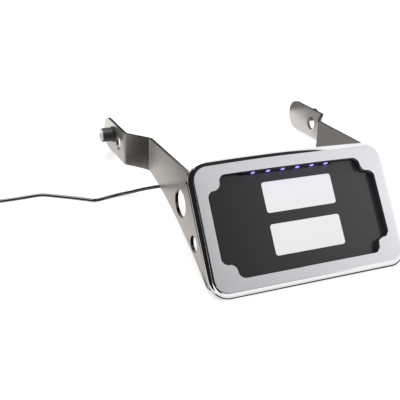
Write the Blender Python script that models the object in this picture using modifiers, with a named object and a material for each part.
# License plate mount for a motorcycle: a chrome frame with a lit window, a black
# backing plate, and one folded steel bracket whose two arms end in bolt-on tabs.
#
# Two working frames are used. In the plate frame x runs across, y up the plate and
# z out of its face, with the origin at the middle of the window. In the arm frame
# x runs across, y back along the arms and z square to them. The finished mount
# rests on the frame's lower edge and on the round ends of its two tabs.

import math

import bmesh
import bpy
from mathutils import Matrix, Vector

MM = 0.001

# Fits
SEAT_GAP = 0.3 * MM            # between faces that touch on the real mount
SCREW_CLEARANCE = 0.35 * MM    # round a screw's shank
PLATE_CLEARANCE = 1.2 * MM     # round the edge of the plate that the frame holds

# The plate that the mount takes, and the window that shows it
PLATE_WIDTH = 177.8 * MM
PLATE_HEIGHT = 101.6 * MM
PLATE_LAP = 6.35 * MM          # how far the frame covers the plate's edge
OGEE_FILLET = 6.0 * MM         # hollow part of a window corner
OGEE_BOSS = 6.8 * MM           # round part of a window corner

# Chrome frame
FACE_MARGIN = 9.1 * MM         # flat face round the window
FACE_CORNER = 12.0 * MM
ROLL_WIDTH = 4.7 * MM          # rolled outer edge at the sides, seen from the front
ROLL_HEIGHT = 5.4 * MM         # the same at the top and bottom
ROLL_DEPTH = 3.5 * MM
EDGE_TUCK = 1.1 * MM           # how far the edge draws in again behind the roll
FRAME_DEPTH = 6.5 * MM
ARCH_RISE = 0.25 * MM          # of the top edges in the middle
FACE_ARCH = 2.05 * MM          # how far the outer top edge falls to its ends
WINDOW_ARCH = 0.9 * MM         # the same for the window
ARCH_STEPS = 16
REBATE_DEPTH = 1.9 * MM         # deep enough for the plate and a gasket
REBATE_CORNER = 8.0 * MM

# Backing plate
BACKING_SIDE = 1.4 * MM        # past the license plate, left and right
BACKING_END = 2.7 * MM         # past it, above and below
BACKING_THICKNESS = 1.5 * MM
BACKING_CORNER = 8.0 * MM

# Folded bracket
SHEET = 3.0 * MM
BLADE_REVEAL = 3.7 * MM        # from the backing plate's side to a blade's outer face
PLATE_LEAN = math.radians(34.3)
FOLD_INSIDE = 2.0 * MM
WEB_ABOVE = 4.5 * MM           # web above the middle of the upper screws
WEB_BELOW = 12.0 * MM          # and below the lower ones
RELIEF = 1.6 * MM              # slot between the web and the free blade corner
BLADE_CORNER = 9.0 * MM
HEEL_RADIUS = 16.0 * MM
CORNER_RISE = 8.4 * MM         # of the blade's free corner above the web
ARM_HEIGHT = 31.4 * MM
JOGGLE_START = 130.7 * MM
JOGGLE_ANGLE = math.radians(38.0)
JOGGLE_INSIDE = 3.0 * MM
JOGGLE_OFFSET = 17.75 * MM     # how far out it carries the tab
TAB_LENGTH = 68.4 * MM         # flat tab with its round end
TAB_HOLE = 14.8 * MM
TAB_HOLE_AHEAD = 33.6 * MM     # ahead of the middle of the round end
BLADE_HOLE = 25.2 * MM
BLADE_HOLE_PLACE = (49.3 * MM, 4.4 * MM)
SMALL_HOLE = 14.9 * MM
SMALL_HOLE_PLACE = (17.3 * MM, -20.2 * MM)
HEEL_PLACE = (-7.6 * MM, -43.9 * MM)   # where the lower edge leaves the heel
HEEL_SLOPE = math.radians(32.5)
HEEL_PULL = 24.5 * MM          # how far the curve holds that slope
ARM_PULL = 51.0 * MM           # how far it holds the arm's own line
LOWER_CURVE_END = 146.5 * MM

# Mounting posts
POST_AHEAD = 17.8 * MM         # ahead of the middle of the tab's round end
POST_RISE = 4.1 * MM           # above the tab's middle line
POST_RADIUS = 7.0 * MM
POST_LENGTH = 12.5 * MM
COLLAR_RADIUS = 7.9 * MM
COLLAR_LENGTH = 2.2 * MM
POST_CHAMFER = 0.6 * MM

# Screws that hold the frame
SCREW_RADIUS = 1.75 * MM
SCREW_HEAD_RADIUS = 3.7 * MM
SCREW_HEAD_HEIGHT = 2.2 * MM
SCREW_BITE = 3.0 * MM          # length of thread inside the frame
SOCKET_RADIUS = 1.45 * MM
SOCKET_DEPTH = 1.3 * MM
WASHER_RADIUS = 4.2 * MM
WASHER_THICKNESS = 0.8 * MM

# Lights above the plate
LIGHT_COUNT = 6
LIGHT_PITCH = 14.6 * MM
LIGHT_SIZE = (3.2 * MM, 1.0 * MM, 2.8 * MM)
STRIP_END = 10.5 * MM          # strip past the middle of its last light
STRIP_THICKNESS = 0.5 * MM
STRIP_DEPTH = 3.6 * MM
STRIP_FRONT = 0.9 * MM         # from the face back to the strip

# Blank labels on the backing plate
LABEL_SIZE = (69.4 * MM, 27.4 * MM)
LABEL_CORNER = 2.5 * MM
LABEL_THICKNESS = 0.25 * MM
LABEL_PLACES = {"label_upper": (5.4 * MM, 20.3 * MM), "label_lower": (5.0 * MM, -17.2 * MM)}

# Light lead
CABLE_DIAMETER = 3.2 * MM
CABLE_STEP = 2.5 * CABLE_DIAMETER
GROMMET_INSET = 6.3 * MM       # of its middle, from the backing plate's top and side
GROMMET_BORE = 1.9 * MM
GROMMET_WAIST = 2.7 * MM
GROMMET_FLANGE = 3.7 * MM
GROMMET_FRONT_FLANGE = 0.9 * MM
GROMMET_BACK_FLANGE = 1.2 * MM
GROMMET_BOOT = 4.5 * MM
GROMMET_TIP = 2.6 * MM

ARC_STEP = math.radians(11.0)

# Worked out from the sizes above
WINDOW_X = PLATE_WIDTH / 2 - PLATE_LAP
WINDOW_Y = PLATE_HEIGHT / 2 - PLATE_LAP
FACE_X = WINDOW_X + FACE_MARGIN
FACE_Y = WINDOW_Y + FACE_MARGIN
REBATE_X = PLATE_WIDTH / 2 + PLATE_CLEARANCE
REBATE_Y = PLATE_HEIGHT / 2 + PLATE_CLEARANCE
BACKING_X = PLATE_WIDTH / 2 + BACKING_SIDE
BACKING_Y = PLATE_HEIGHT / 2 + BACKING_END
BACKING_FRONT = FRAME_DEPTH + SEAT_GAP
BACKING_BACK = BACKING_FRONT + BACKING_THICKNESS
GROMMET_PLACE = (GROMMET_INSET - BACKING_X, BACKING_Y - GROMMET_INSET)
WEB_FRONT = BACKING_BACK + SEAT_GAP
WEB_MIDDLE = WEB_FRONT + SHEET / 2
WEB_BACK = WEB_FRONT + SHEET
WASHER_FRONT = WEB_BACK + SEAT_GAP
HEAD_SEAT = WASHER_FRONT + WASHER_THICKNESS + SEAT_GAP
SCREW_X = WINDOW_X - OGEE_FILLET
SCREW_Y = WINDOW_Y - OGEE_FILLET
WEB_TOP = SCREW_Y + WEB_ABOVE
WEB_BOTTOM = -(SCREW_Y + WEB_BELOW)
FOLD_RADIUS = FOLD_INSIDE + SHEET / 2
BLADE_FACE = BACKING_X + BLADE_REVEAL
BLADE_MIDDLE = BLADE_FACE - SHEET / 2
FOLD_START = BLADE_MIDDLE - FOLD_RADIUS
FOLD_END = FOLD_START + FOLD_RADIUS * math.pi / 2
FOLD_END_DEPTH = WEB_MIDDLE + FOLD_RADIUS
JOGGLE_RADIUS = JOGGLE_INSIDE + SHEET / 2
JOGGLE_ARC = JOGGLE_RADIUS * JOGGLE_ANGLE
JOGGLE_STRAIGHT = ((JOGGLE_OFFSET - 2 * JOGGLE_RADIUS * (1 - math.cos(JOGGLE_ANGLE)))
                   / math.sin(JOGGLE_ANGLE))
JOGGLE_SECOND = JOGGLE_START + JOGGLE_ARC + JOGGLE_STRAIGHT
JOGGLE_FLAT_END = JOGGLE_SECOND + JOGGLE_ARC
JOGGLE_TRUE_END = (JOGGLE_START + 2 * JOGGLE_RADIUS * math.sin(JOGGLE_ANGLE)
                   + JOGGLE_STRAIGHT * math.cos(JOGGLE_ANGLE))
TAB_FACE = BLADE_FACE + JOGGLE_OFFSET
ARM_FRONT = FRAME_DEPTH + SEAT_GAP
ARM_TOP = ((WEB_TOP + CORNER_RISE - ARM_FRONT * math.tan(PLATE_LEAN))
           * math.cos(PLATE_LEAN))
ARM_MIDDLE = ARM_TOP - ARM_HEIGHT / 2
TAB_RADIUS = ARM_HEIGHT / 2
TAB_CENTRE = JOGGLE_TRUE_END + TAB_LENGTH - TAB_RADIUS
TAB_HOLE_PLACE = TAB_CENTRE - TAB_HOLE_AHEAD
POST_PLACE = (TAB_CENTRE - POST_AHEAD, ARM_MIDDLE + POST_RISE)

# Route of the light lead, from the point of the left blade's lower edge that it passes
# under. Its first stretch keeps to the blade, so its heights count from that edge too.
EDGE_SHARE = 0.735             # how far along the lower curve the lead passes
ROUTE_BY_BLADE = ((8.2, -34.6, 25.3), (6.9, -20.6, 12.0), (5.1, -9.0, 2.0),
                  (3.5, -1.8, -1.7), (0.5, 4.5, -2.5), (-5.9, 10.5, -6.8))
ROUTE_ON_TABLE = ((-13.5, 16.8, 7.6), (-22.1, 20.1, 3.9), (-31.4, 21.5, 2.1),
                  (-43.0, 20.0, 1.65), (-54.0, 17.9, 1.6), (-59.3, 18.1, 1.6),
                  (-64.3, 20.5, 1.6), (-75.5, 25.8, 1.6), (-89.0, 31.7, 1.6),
                  (-98.5, 35.7, 1.6), (-103.3, 36.9, 1.6), (-108.3, 37.0, 1.6),
                  (-121.5, 36.1, 1.6), (-134.5, 35.6, 1.6), (-140.5, 35.6, 1.6))


def clamp(value, low, high):
    return max(low, min(high, value))


def material(name, colour, roughness, metallic):
    made = bpy.data.materials.new(name)
    made.use_nodes = True
    shader = made.node_tree.nodes["Principled BSDF"]
    shader.inputs["Base Color"].default_value = (*colour, 1.0)
    shader.inputs["Roughness"].default_value = roughness
    shader.inputs["Metallic"].default_value = metallic
    return made


def mesh_object(name, mesh, collection):
    made = bpy.data.objects.new(name, mesh)
    collection.objects.link(made)
    return made


def rounded_path(corners):
    """Closed outline through corners given as (x, y, radius), each corner rounded."""
    outline = []
    count = len(corners)
    for index, (x, y, radius) in enumerate(corners):
        here = Vector((x, y))
        before = Vector(corners[index - 1][:2])
        after = Vector(corners[(index + 1) % count][:2])
        if radius <= 0:
            outline.append((x, y))
            continue
        to_before = (before - here).normalized()
        to_after = (after - here).normalized()
        half = to_before.angle(to_after) / 2
        centre = here + (to_before + to_after).normalized() * (radius / math.sin(half))
        start = here + to_before * (radius / math.tan(half)) - centre
        turn = math.pi - 2 * half
        if to_before.cross(to_after) > 0:
            turn = -turn
        steps = max(2, math.ceil(abs(turn) / ARC_STEP))
        for step in range(steps + 1):
            spoke = Matrix.Rotation(turn * step / steps, 2) @ start
            outline.append(tuple(centre + spoke))
    return outline


def rounded_rectangle(half_x, half_y, radius):
    return rounded_path([(half_x, -half_y, radius), (half_x, half_y, radius),
                         (-half_x, half_y, radius), (-half_x, -half_y, radius)])


def circle(x, y, radius, sides):
    turns = [2 * math.pi * side / sides for side in range(sides)]
    return [(x + radius * math.cos(turn), y + radius * math.sin(turn)) for turn in turns]


def bezier_point(start, start_pull, end_pull, end, t):
    return (start * (1 - t) ** 3 + start_pull * (3 * t * (1 - t) ** 2)
            + end_pull * (3 * t * t * (1 - t)) + end * t ** 3)


def bezier(start, start_pull, end_pull, end, steps):
    """Points along a cubic curve, without its first point."""
    return [tuple(bezier_point(start, start_pull, end_pull, end, step / steps))
            for step in range(1, steps + 1)]


def flat_mesh(name, loops, thickness):
    """Flat sheet from its outline and the outlines of its holes, centred on z = 0."""
    curve = bpy.data.curves.new(name, "CURVE")
    curve.dimensions = "2D"
    curve.fill_mode = "BOTH"
    curve.extrude = thickness / 2
    for loop in loops:
        spline = curve.splines.new("POLY")
        spline.points.add(len(loop) - 1)
        for point, (x, y) in zip(spline.points, loop):
            point.co = (x, y, 0.0, 1.0)
        spline.use_cyclic_u = True
    holder = bpy.data.objects.new(name, curve)
    bpy.context.scene.collection.objects.link(holder)
    mesh = evaluated_mesh(holder)
    bpy.data.objects.remove(holder)
    bpy.data.curves.remove(curve)
    return mesh


def evaluated_mesh(source):
    """Mesh of an object with its modifiers or curve settings worked out."""
    graph = bpy.context.evaluated_depsgraph_get()
    graph.update()
    mesh = bpy.data.meshes.new_from_object(source.evaluated_get(graph))
    work = bmesh.new()
    work.from_mesh(mesh)
    bmesh.ops.remove_doubles(work, verts=work.verts, dist=0.001 * MM)
    work.to_mesh(mesh)
    work.free()
    mesh.name = source.name
    return mesh


def box_mesh(name, size):
    work = bmesh.new()
    bmesh.ops.create_cube(work, size=1.0)
    bmesh.ops.scale(work, vec=size, verts=work.verts)
    mesh = bpy.data.meshes.new(name)
    work.to_mesh(mesh)
    work.free()
    return mesh


def turned_object(name, profile, closed, sides, collection):
    """Solid of revolution about z, from a profile of (radius, height) points."""
    count = len(profile)
    edges = [(index, index + 1) for index in range(count - 1)]
    if closed:
        edges.append((count - 1, 0))
    mesh = bpy.data.meshes.new(name)
    mesh.from_pydata([(radius, 0.0, height) for radius, height in profile], edges, [])
    made = mesh_object(name, mesh, collection)
    spin = made.modifiers.new("Turn", "SCREW")
    spin.axis = "Z"
    spin.steps = sides
    spin.render_steps = sides
    spin.use_merge_vertices = True
    spin.merge_threshold = 0.01 * MM
    return made


def finish(made, look, parent):
    made.data.materials.clear()
    made.data.materials.append(look)
    made.parent = parent
    made.data.shade_smooth()
    made.data.set_sharp_from_angle(angle=math.radians(30))
    return made


def cut(target, cutter, name):
    trim = target.modifiers.new(name, "BOOLEAN")
    trim.operation = "DIFFERENCE"
    trim.solver = "EXACT"
    trim.object = cutter
    cutter.hide_render = True
    cutter.display_type = "WIRE"


def blank_point(back, up):
    """Point of the right arm's side view, laid flat beside the web: (across, height)."""
    height = back * math.sin(PLATE_LEAN) + up * math.cos(PLATE_LEAN)
    depth = back * math.cos(PLATE_LEAN) - up * math.sin(PLATE_LEAN)
    return Vector((FOLD_END + depth - FOLD_END_DEPTH, height))


def flat_tab_place(back):
    """Distance along the flat arm of a point that lies at back on the bent one."""
    return back - JOGGLE_TRUE_END + JOGGLE_FLAT_END


def lower_curve():
    """Control points of the right arm's lower edge on the flat blank, and its first line."""
    heel = blank_point(*HEEL_PLACE)
    slope = Vector((math.cos(HEEL_SLOPE), math.sin(HEEL_SLOPE)))
    heel_line = (blank_point(HEEL_PLACE[0] + slope.x, HEEL_PLACE[1] + slope.y)
                 - heel).normalized()
    end = blank_point(LOWER_CURVE_END, ARM_TOP - ARM_HEIGHT)
    arm_line = (blank_point(LOWER_CURVE_END + MM, ARM_TOP - ARM_HEIGHT) - end) / MM
    return (heel, heel + heel_line * HEEL_PULL, end - arm_line * ARM_PULL, end), heel_line


def half_blank_outline():
    """Right half of the flat blank, from the web's bottom middle round to its top middle."""
    curve, heel_line = lower_curve()
    heel = curve[0]
    heel_corner = heel - heel_line * ((heel.y - WEB_BOTTOM) / heel_line.y)
    tip = flat_tab_place(TAB_CENTRE)
    front_line = FOLD_END + ARM_FRONT - FOLD_END_DEPTH
    free_corner = Vector((front_line, WEB_TOP + CORNER_RISE))
    finger_foot = Vector((front_line, WEB_TOP + RELIEF))
    slot_end = FOLD_END + RELIEF / 2

    outline = [(0.0, WEB_BOTTOM)]
    heel_arc = rounded_path([(0.0, WEB_BOTTOM, 0), (*heel_corner, HEEL_RADIUS), (*heel, 0)])
    outline += heel_arc[1:-1]
    if (Vector(heel_arc[-2]) - heel).length > 0.1 * MM:
        outline.append(tuple(heel))
    outline += bezier(*curve, 16)
    steps = math.ceil(math.pi / ARC_STEP)
    for step in range(steps + 1):
        turn = -math.pi / 2 + math.pi * step / steps
        outline.append(tuple(blank_point(tip + TAB_RADIUS * math.cos(turn),
                                         ARM_MIDDLE + TAB_RADIUS * math.sin(turn))))
    far_top = blank_point(tip, ARM_TOP)
    corner_arc = rounded_path([(*far_top, 0), (*free_corner, BLADE_CORNER), (*finger_foot, 0)])
    outline += corner_arc[1:]
    outline += [(slot_end, WEB_TOP + RELIEF), (slot_end, WEB_TOP), (0.0, WEB_TOP)]
    return outline


def fold_point(across, height, outward):
    """Place of a point of the flat blank after all folds, in the arm frame."""
    side = math.copysign(1.0, across)
    across = abs(across)
    free = height > WEB_TOP + RELIEF / 2
    turn = math.pi / 2 if free else clamp((across - FOLD_START) / FOLD_RADIUS, 0, math.pi / 2)
    past = across - FOLD_END if free else max(across - FOLD_END, 0.0)
    x = (FOLD_START if free else min(across, FOLD_START))
    x += (FOLD_RADIUS + outward) * math.sin(turn)
    depth = WEB_MIDDLE + FOLD_RADIUS - (FOLD_RADIUS + outward) * math.cos(turn) + past
    back = height * math.sin(PLATE_LEAN) + depth * math.cos(PLATE_LEAN)
    up = height * math.cos(PLATE_LEAN) - depth * math.sin(PLATE_LEAN)

    first = clamp((back - JOGGLE_START) / JOGGLE_RADIUS, 0, JOGGLE_ANGLE)
    second = clamp((back - JOGGLE_SECOND) / JOGGLE_RADIUS, 0, JOGGLE_ANGLE)
    if first > 0:
        sloped = clamp(back - JOGGLE_START - JOGGLE_ARC, 0, JOGGLE_STRAIGHT)
        tail = max(back - JOGGLE_FLAT_END, 0.0)
        bend = first - second
        rise = JOGGLE_ANGLE - second
        x += JOGGLE_RADIUS * (1 - math.cos(first) + math.cos(rise) - math.cos(JOGGLE_ANGLE))
        x += sloped * math.sin(JOGGLE_ANGLE) + outward * (math.cos(bend) - 1)
        back = JOGGLE_START + sloped * math.cos(JOGGLE_ANGLE) + tail
        back += JOGGLE_RADIUS * (math.sin(first) + math.sin(JOGGLE_ANGLE) - math.sin(rise))
        back -= outward * math.sin(bend)
    return Vector((side * x, back, up))


def cut_for_bends(work):
    """Adds edges across the flat blank wherever the sheet will bend."""
    lines = []
    for side in (-1, 1):
        for step in range(8):
            lines.append((Vector((side * (FOLD_START + (FOLD_END - FOLD_START) * step / 7), 0, 0)),
                          Vector((side, 0, 0))))
        for start in (JOGGLE_START, JOGGLE_SECOND):
            for step in range(5):
                across, height = blank_point(start + JOGGLE_ARC * step / 4, 0.0)
                lines.append((Vector((side * across, height, 0)),
                              Vector((side * math.cos(PLATE_LEAN), math.sin(PLATE_LEAN), 0))))
    for place, normal in lines:
        everything = work.verts[:] + work.edges[:] + work.faces[:]
        bmesh.ops.bisect_plane(work, geom=everything, dist=0.001 * MM, plane_co=place,
                               plane_no=normal)


def bracket(collection, look, parent):
    """The one folded sheet: its flat blank is cut out, then every point is folded."""
    right = half_blank_outline()
    left = [(-x, y) for x, y in reversed(right[1:-1])]
    loops = [right + left]
    for side in (-1, 1):
        for (back, up), size, sides in ((BLADE_HOLE_PLACE, BLADE_HOLE, 44),
                                        (SMALL_HOLE_PLACE, SMALL_HOLE, 30),
                                        ((flat_tab_place(TAB_HOLE_PLACE), ARM_MIDDLE),
                                         TAB_HOLE, 30)):
            across, height = blank_point(back, up)
            loops.append(circle(side * across, height, size / 2, sides))
        for level in (-SCREW_Y, SCREW_Y):
            loops.append(circle(side * SCREW_X, level, SCREW_RADIUS + SCREW_CLEARANCE, 16))
    mesh = flat_mesh("bracket", loops, SHEET)
    work = bmesh.new()
    work.from_mesh(mesh)
    bmesh.ops.dissolve_limit(work, angle_limit=math.radians(1), verts=work.verts,
                             edges=work.edges)
    cut_for_bends(work)
    bmesh.ops.remove_doubles(work, verts=work.verts, dist=0.001 * MM)
    bmesh.ops.triangulate(work, faces=work.faces)
    for vert in work.verts:
        vert.co = fold_point(vert.co.x, vert.co.y, vert.co.z)
    bmesh.ops.recalc_face_normals(work, faces=work.faces)
    work.to_mesh(mesh)
    work.free()
    return finish(mesh_object("bracket", mesh, collection), look, parent)


def ogee_window():
    """Outline of the window: a rectangle with a stepped, double-curved corner."""
    step = OGEE_FILLET + OGEE_BOSS
    inner_x = WINDOW_X - step
    inner_y = WINDOW_Y - step
    corner = [(WINDOW_X, inner_y, OGEE_FILLET), (inner_x, inner_y, OGEE_BOSS),
              (inner_x, WINDOW_Y, OGEE_FILLET)]
    outline = []
    for sign_x, sign_y in ((1, 1), (-1, 1), (-1, -1), (1, -1)):
        turned = [(sign_x * x, sign_y * y, radius) for x, y, radius in corner]
        if sign_x * sign_y < 0:
            turned.reverse()
        outline += turned
    return arched(rounded_path(outline), WINDOW_ARCH)


def arched(outline, fall):
    """The outline with its long top edge bent into a shallow arch."""
    half = max(x for x, _ in outline)
    bent = []
    for (x, y), (next_x, next_y) in zip(outline, outline[1:] + outline[:1]):
        steps = ARCH_STEPS if y > 0 and abs(next_x - x) > half else 1
        for step in range(steps):
            here = x + (next_x - x) * step / steps
            lift = ARCH_RISE - fall * (here / half) ** 2 if y > 0 else 0.0
            bent.append((here, y + (next_y - y) * step / steps + lift))
    return bent


def roll_profile():
    """Section of the rolled edge: (share of its width, height)."""
    steps = 5
    section = []
    for step in range(steps + 1):
        turn = math.radians(22 + 68 * step / steps)
        section.append((math.sin(turn), math.cos(turn)))
    first_out, first_up = section[0]
    return [((out - first_out) / (1 - first_out), ROLL_DEPTH * (up / first_up - 1))
            for out, up in section]


def frame_rings():
    """Rings of the frame from its back to its face: (out at the sides, out at the ends, height)."""
    rings = [(ROLL_WIDTH - EDGE_TUCK, ROLL_HEIGHT - EDGE_TUCK, -FRAME_DEPTH)]
    for share, level in reversed(roll_profile()):
        rings.append((ROLL_WIDTH * share, ROLL_HEIGHT * share, level))
    return rings


def plate_frame(collection, cutters, look, parent):
    """Cast frame: a lofted slab with a rolled edge, opened for window, plate and screws."""
    work = bmesh.new()
    previous = None
    for side, end, level in frame_rings():
        outline = arched(rounded_rectangle(FACE_X + side, FACE_Y + end,
                                           FACE_CORNER + (side + end) / 2), FACE_ARCH)
        ring = [work.verts.new((x, y, level)) for x, y in outline]
        if previous is None:
            work.faces.new(list(reversed(ring)))
        else:
            count = len(ring)
            for index in range(count):
                after = (index + 1) % count
                work.faces.new((previous[index], previous[after], ring[after], ring[index]))
        previous = ring
    work.faces.new(previous)
    bmesh.ops.recalc_face_normals(work, faces=work.faces)
    mesh = bpy.data.meshes.new("plate_frame")
    work.to_mesh(mesh)
    work.free()
    made = mesh_object("plate_frame", mesh, collection)

    window = mesh_object("window_cutter", flat_mesh("window_cutter", [ogee_window()],
                                                    4 * FRAME_DEPTH), cutters)
    rebate_outline = rounded_rectangle(REBATE_X, REBATE_Y, REBATE_CORNER)
    rebate = mesh_object("rebate_cutter", flat_mesh("rebate_cutter", [rebate_outline],
                                                    2 * REBATE_DEPTH), cutters)
    rebate.location = (0, 0, -FRAME_DEPTH)
    holes = [circle(sign_x * SCREW_X, sign_y * SCREW_Y, SCREW_RADIUS + SCREW_CLEARANCE, 16)
             for sign_x in (-1, 1) for sign_y in (-1, 1)]
    thread_depth = SCREW_BITE + SEAT_GAP
    thread = mesh_object("thread_cutter", flat_mesh("thread_cutter", holes, 2 * thread_depth),
                         cutters)
    thread.location = (0, 0, REBATE_DEPTH - FRAME_DEPTH)
    for cutter in (window, rebate, thread):
        cutter.parent = parent
        cut(made, cutter, cutter.name)
    return finish(made, look, parent)


def backing_plate(collection, look, parent):
    loops = [rounded_rectangle(BACKING_X, BACKING_Y, BACKING_CORNER)]
    for sign_x in (-1, 1):
        for sign_y in (-1, 1):
            loops.append(circle(sign_x * SCREW_X, sign_y * SCREW_Y,
                                SCREW_RADIUS + SCREW_CLEARANCE, 16))
    loops.append(circle(*GROMMET_PLACE, GROMMET_WAIST + SEAT_GAP, 20))
    made = mesh_object("backing_plate", flat_mesh("backing_plate", loops, BACKING_THICKNESS),
                       collection)
    made.location = (0, 0, -(BACKING_FRONT + BACKING_BACK) / 2)
    return finish(made, look, parent)


def labels(collection, look, parent):
    outline = rounded_rectangle(LABEL_SIZE[0] / 2, LABEL_SIZE[1] / 2, LABEL_CORNER)
    level = -BACKING_FRONT + SEAT_GAP + LABEL_THICKNESS / 2
    for name, (x, y) in LABEL_PLACES.items():
        made = mesh_object(name, flat_mesh(name, [outline], LABEL_THICKNESS), collection)
        made.location = (x, y, level)
        finish(made, look, parent)


def lights(collection, looks, parent):
    """Strip under the window's top edge, with its row of lights facing down the plate."""
    middle = -STRIP_FRONT - STRIP_DEPTH / 2
    strip_y = WINDOW_Y - SEAT_GAP - STRIP_THICKNESS / 2
    strip_length = (LIGHT_COUNT - 1) * LIGHT_PITCH + 2 * STRIP_END
    strip_mesh = box_mesh("led_strip", (strip_length, STRIP_THICKNESS, STRIP_DEPTH))
    strip = mesh_object("led_strip", strip_mesh, collection)
    strip.location = (0, strip_y, middle)
    finish(strip, looks["strip"], parent)
    light_y = strip_y - STRIP_THICKNESS / 2 - SEAT_GAP - LIGHT_SIZE[1] / 2
    for index in range(LIGHT_COUNT):
        name = f"led_{index + 1}"
        made = mesh_object(name, box_mesh(name, LIGHT_SIZE), collection)
        made.location = ((index - (LIGHT_COUNT - 1) / 2) * LIGHT_PITCH, light_y, middle)
        edge = made.modifiers.new("Edges", "BEVEL")
        edge.width = 0.2 * MM
        edge.segments = 1
        finish(made, looks["light"], parent)


def screw_profile():
    """Button head above z = 0 and a plain shank below it."""
    points = []
    for step in range(6):
        turn = math.radians(90 * step / 5)
        points.append((SCREW_HEAD_RADIUS * math.sin(turn),
                       0.5 * MM + (SCREW_HEAD_HEIGHT - 0.5 * MM) * math.cos(turn)))
    shank = HEAD_SEAT - (FRAME_DEPTH - REBATE_DEPTH) + SCREW_BITE
    points += [(SCREW_HEAD_RADIUS, 0.0), (SCREW_RADIUS, 0.0),
               (SCREW_RADIUS, -shank + SCREW_RADIUS / 4), (SCREW_RADIUS * 0.75, -shank),
               (0.0, -shank)]
    return points


def frame_screws(collection, cutters, look, parent):
    pattern = turned_object("screw_pattern", screw_profile(), False, 24, cutters)
    work = bmesh.new()
    bmesh.ops.create_cone(work, cap_ends=True, segments=6, radius1=SOCKET_RADIUS,
                          radius2=SOCKET_RADIUS, depth=2 * SOCKET_DEPTH)
    socket_mesh = bpy.data.meshes.new("socket_cutter")
    work.to_mesh(socket_mesh)
    work.free()
    socket = mesh_object("socket_cutter", socket_mesh, cutters)
    socket.location = (0, 0, SCREW_HEAD_HEIGHT)
    cut(pattern, socket, "Socket")
    mesh = evaluated_mesh(pattern)
    pattern.hide_render = True
    pattern.display_type = "WIRE"
    ring = [(WASHER_RADIUS, WASHER_THICKNESS), (WASHER_RADIUS, 0.0),
            (SCREW_RADIUS + SCREW_CLEARANCE, 0.0),
            (SCREW_RADIUS + SCREW_CLEARANCE, WASHER_THICKNESS)]
    number = 0
    for sign_y in (1, -1):
        for sign_x in (-1, 1):
            number += 1
            made = mesh_object(f"frame_screw_{number}", mesh, collection)
            made.location = (sign_x * SCREW_X, sign_y * SCREW_Y, -HEAD_SEAT)
            made.rotation_euler = (math.pi, 0, 0)
            finish(made, look, parent)
            washer = turned_object(f"frame_washer_{number}", ring, True, 24, collection)
            washer.location = (sign_x * SCREW_X, sign_y * SCREW_Y, -WASHER_FRONT)
            washer.rotation_euler = (math.pi, 0, 0)
            finish(washer, look, parent)


def mounting_posts(collection, look, parent):
    """Black posts that stand out of the tabs, square to them."""
    face = TAB_FACE + SEAT_GAP
    profile = [(0.0, POST_LENGTH), (POST_RADIUS - POST_CHAMFER, POST_LENGTH),
               (POST_RADIUS, POST_LENGTH - POST_CHAMFER), (POST_RADIUS, COLLAR_LENGTH),
               (COLLAR_RADIUS, COLLAR_LENGTH - (COLLAR_RADIUS - POST_RADIUS)),
               (COLLAR_RADIUS, 0.0), (0.0, 0.0)]
    for name, side in (("mounting_post_left", -1), ("mounting_post_right", 1)):
        made = turned_object(name, profile, False, 32, collection)
        made.location = (side * face, *POST_PLACE)
        made.rotation_euler = (0, side * math.pi / 2, 0)
        finish(made, look, parent)


def harness_grommet(collection, look, parent):
    """Rubber grommet in the backing plate, with a short boot round the light lead."""
    back = BACKING_BACK + SEAT_GAP
    front = BACKING_FRONT - SEAT_GAP
    tip = back + GROMMET_BACK_FLANGE + GROMMET_BOOT
    profile = [(GROMMET_FLANGE, -front + GROMMET_FRONT_FLANGE), (GROMMET_FLANGE, -front),
               (GROMMET_WAIST, -front), (GROMMET_WAIST, -back), (GROMMET_FLANGE, -back),
               (GROMMET_FLANGE, -back - GROMMET_BACK_FLANGE), (GROMMET_TIP, -tip),
               (GROMMET_BORE, -tip), (GROMMET_BORE, -front + GROMMET_FRONT_FLANGE)]
    made = turned_object("harness_grommet", profile, True, 24, collection)
    made.location = (*GROMMET_PLACE, 0)
    finish(made, look, parent)


def smooth_route(points, step):
    """Even points on a smooth curve through the given ones."""
    route = [Vector(point) for point in points]
    padded = [route[0] * 2 - route[1]] + route + [route[-1] * 2 - route[-2]]
    fine = []
    for index in range(1, len(padded) - 2):
        a, b, c, d = padded[index - 1:index + 3]
        for part in range(24):
            t = part / 24
            fine.append(0.5 * (2 * b + (c - a) * t + (2 * a - 5 * b + 4 * c - d) * t ** 2
                               + (3 * b - a - 3 * c + d) * t ** 3))
    fine.append(route[-1])
    even = [fine[0]]
    run = 0.0
    for before, after in zip(fine, fine[1:]):
        run += (after - before).length
        if run >= step:
            even.append(after)
            run = 0.0
    if (even[-1] - fine[-1]).length < step / 2:
        even.pop()
    even.append(fine[-1])
    return even


def cable_route(stand, plate_plane):
    """Points of the light lead in the finished mount's own place, in metres."""
    edge = stand.matrix_world @ arm_edge_point()
    boot_end = -(BACKING_BACK + SEAT_GAP + GROMMET_BACK_FLANGE + GROMMET_BOOT)
    start = plate_plane.matrix_world @ Vector((*GROMMET_PLACE, boot_end - SEAT_GAP))
    onward = plate_plane.matrix_world.to_3x3() @ Vector((0, 0, -1))
    route = [start, start + onward * 3 * CABLE_DIAMETER / 2]
    route += [edge + Vector(offset) * MM for offset in ROUTE_BY_BLADE]
    route += [Vector((edge.x + x * MM, edge.y + y * MM, z * MM)) for x, y, z in ROUTE_ON_TABLE]
    return route


def arm_edge_point():
    """Point of the left blade's lower edge that the light lead passes under."""
    curve, _ = lower_curve()
    across, height = bezier_point(*curve, EDGE_SHARE)
    return fold_point(-across, height, 0.0)


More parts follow.
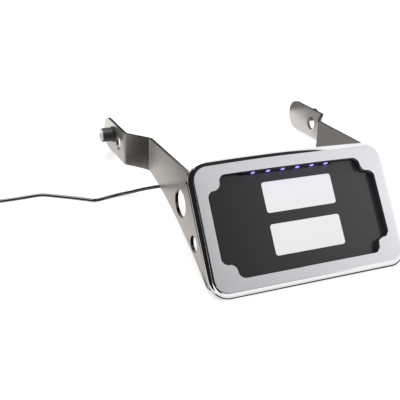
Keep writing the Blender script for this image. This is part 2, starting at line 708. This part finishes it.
def harness_cable(collection, look, route_points):
    curve = bpy.data.curves.new("harness_cable", "CURVE")
    curve.dimensions = "3D"
    curve.bevel_depth = CABLE_DIAMETER / 2
    curve.bevel_resolution = 2
    curve.use_fill_caps = True
    route = smooth_route(route_points, CABLE_STEP)
    spline = curve.splines.new("POLY")
    spline.points.add(len(route) - 1)
    for point, place in zip(spline.points, route):
        point.co = (*place, 1.0)
    curve.materials.append(look)
    made = bpy.data.objects.new("harness_cable", curve)
    collection.objects.link(made)


def rest_angle():
    """How far the arms slope down when the frame's edge and the tabs stand on a table."""
    slopes = []
    for _, end, level in frame_rings():
        low = -(FACE_Y + end)
        edge = Vector((low * math.sin(PLATE_LEAN) - level * math.cos(PLATE_LEAN),
                       low * math.cos(PLATE_LEAN) + level * math.sin(PLATE_LEAN)))
        to_tab = Vector((TAB_CENTRE, ARM_MIDDLE)) - edge
        slopes.append(math.atan2(to_tab.y, to_tab.x) - math.asin(TAB_RADIUS / to_tab.length))
    return max(slopes)


def stand_on_floor(stand, collection):
    """Moves the stand so that the origin is below the middle of the finished mount."""
    bpy.context.view_layer.update()
    graph = bpy.context.evaluated_depsgraph_get()
    corners = []
    for made in collection.objects:
        solid = made.evaluated_get(graph)
        corners += [solid.matrix_world @ vert.co for vert in solid.data.vertices]
    backs = [corner.y for corner in corners]
    stand.location.y = -(min(backs) + max(backs)) / 2
    stand.location.z = -min(corner.z for corner in corners)


def main():
    for old in list(bpy.data.objects):
        bpy.data.objects.remove(old)
    collection = bpy.data.collections.new("license_plate_mount")
    cutters = bpy.data.collections.new("cutters")
    bpy.context.scene.collection.children.link(collection)
    bpy.context.scene.collection.children.link(cutters)

    steel = material("brushed_steel", (0.52, 0.5, 0.48), 0.35, 1.0)
    chrome = material("chrome", (0.9, 0.9, 0.92), 0.06, 1.0)
    satin_black = material("satin_black", (0.03, 0.03, 0.034), 0.38, 0.0)
    paper = material("white_paper", (0.88, 0.88, 0.89), 0.6, 0.0)
    strip = material("strip_black", (0.02, 0.02, 0.02), 0.5, 0.0)
    light = material("violet_light", (0.45, 0.35, 0.95), 0.3, 0.0)
    post_black = material("post_black", (0.02, 0.02, 0.022), 0.3, 0.0)
    zinc = material("screw_zinc", (0.6, 0.6, 0.6), 0.3, 1.0)
    rubber = material("black_rubber", (0.02, 0.02, 0.02), 0.7, 0.0)
    cable_black = material("cable_black", (0.015, 0.015, 0.015), 0.2, 0.0)

    stand = bpy.data.objects.new("stand", None)
    plate_plane = bpy.data.objects.new("plate_plane", None)
    for empty in (stand, plate_plane):
        bpy.context.scene.collection.objects.link(empty)
    stand.rotation_euler = (-rest_angle(), 0, 0)
    plate_plane.parent = stand
    plate_plane.rotation_euler = (math.pi / 2 - PLATE_LEAN, 0, 0)

    bracket(collection, steel, stand)
    plate_frame(collection, cutters, chrome, plate_plane)
    backing_plate(collection, satin_black, plate_plane)
    labels(collection, paper, plate_plane)
    lights(collection, {"strip": strip, "light": light}, plate_plane)
    frame_screws(collection, cutters, zinc, plate_plane)
    mounting_posts(collection, post_black, stand)
    harness_grommet(collection, rubber, plate_plane)
    stand_on_floor(stand, collection)
    bpy.context.view_layer.update()
    harness_cable(collection, cable_black, cable_route(stand, plate_plane))


main()
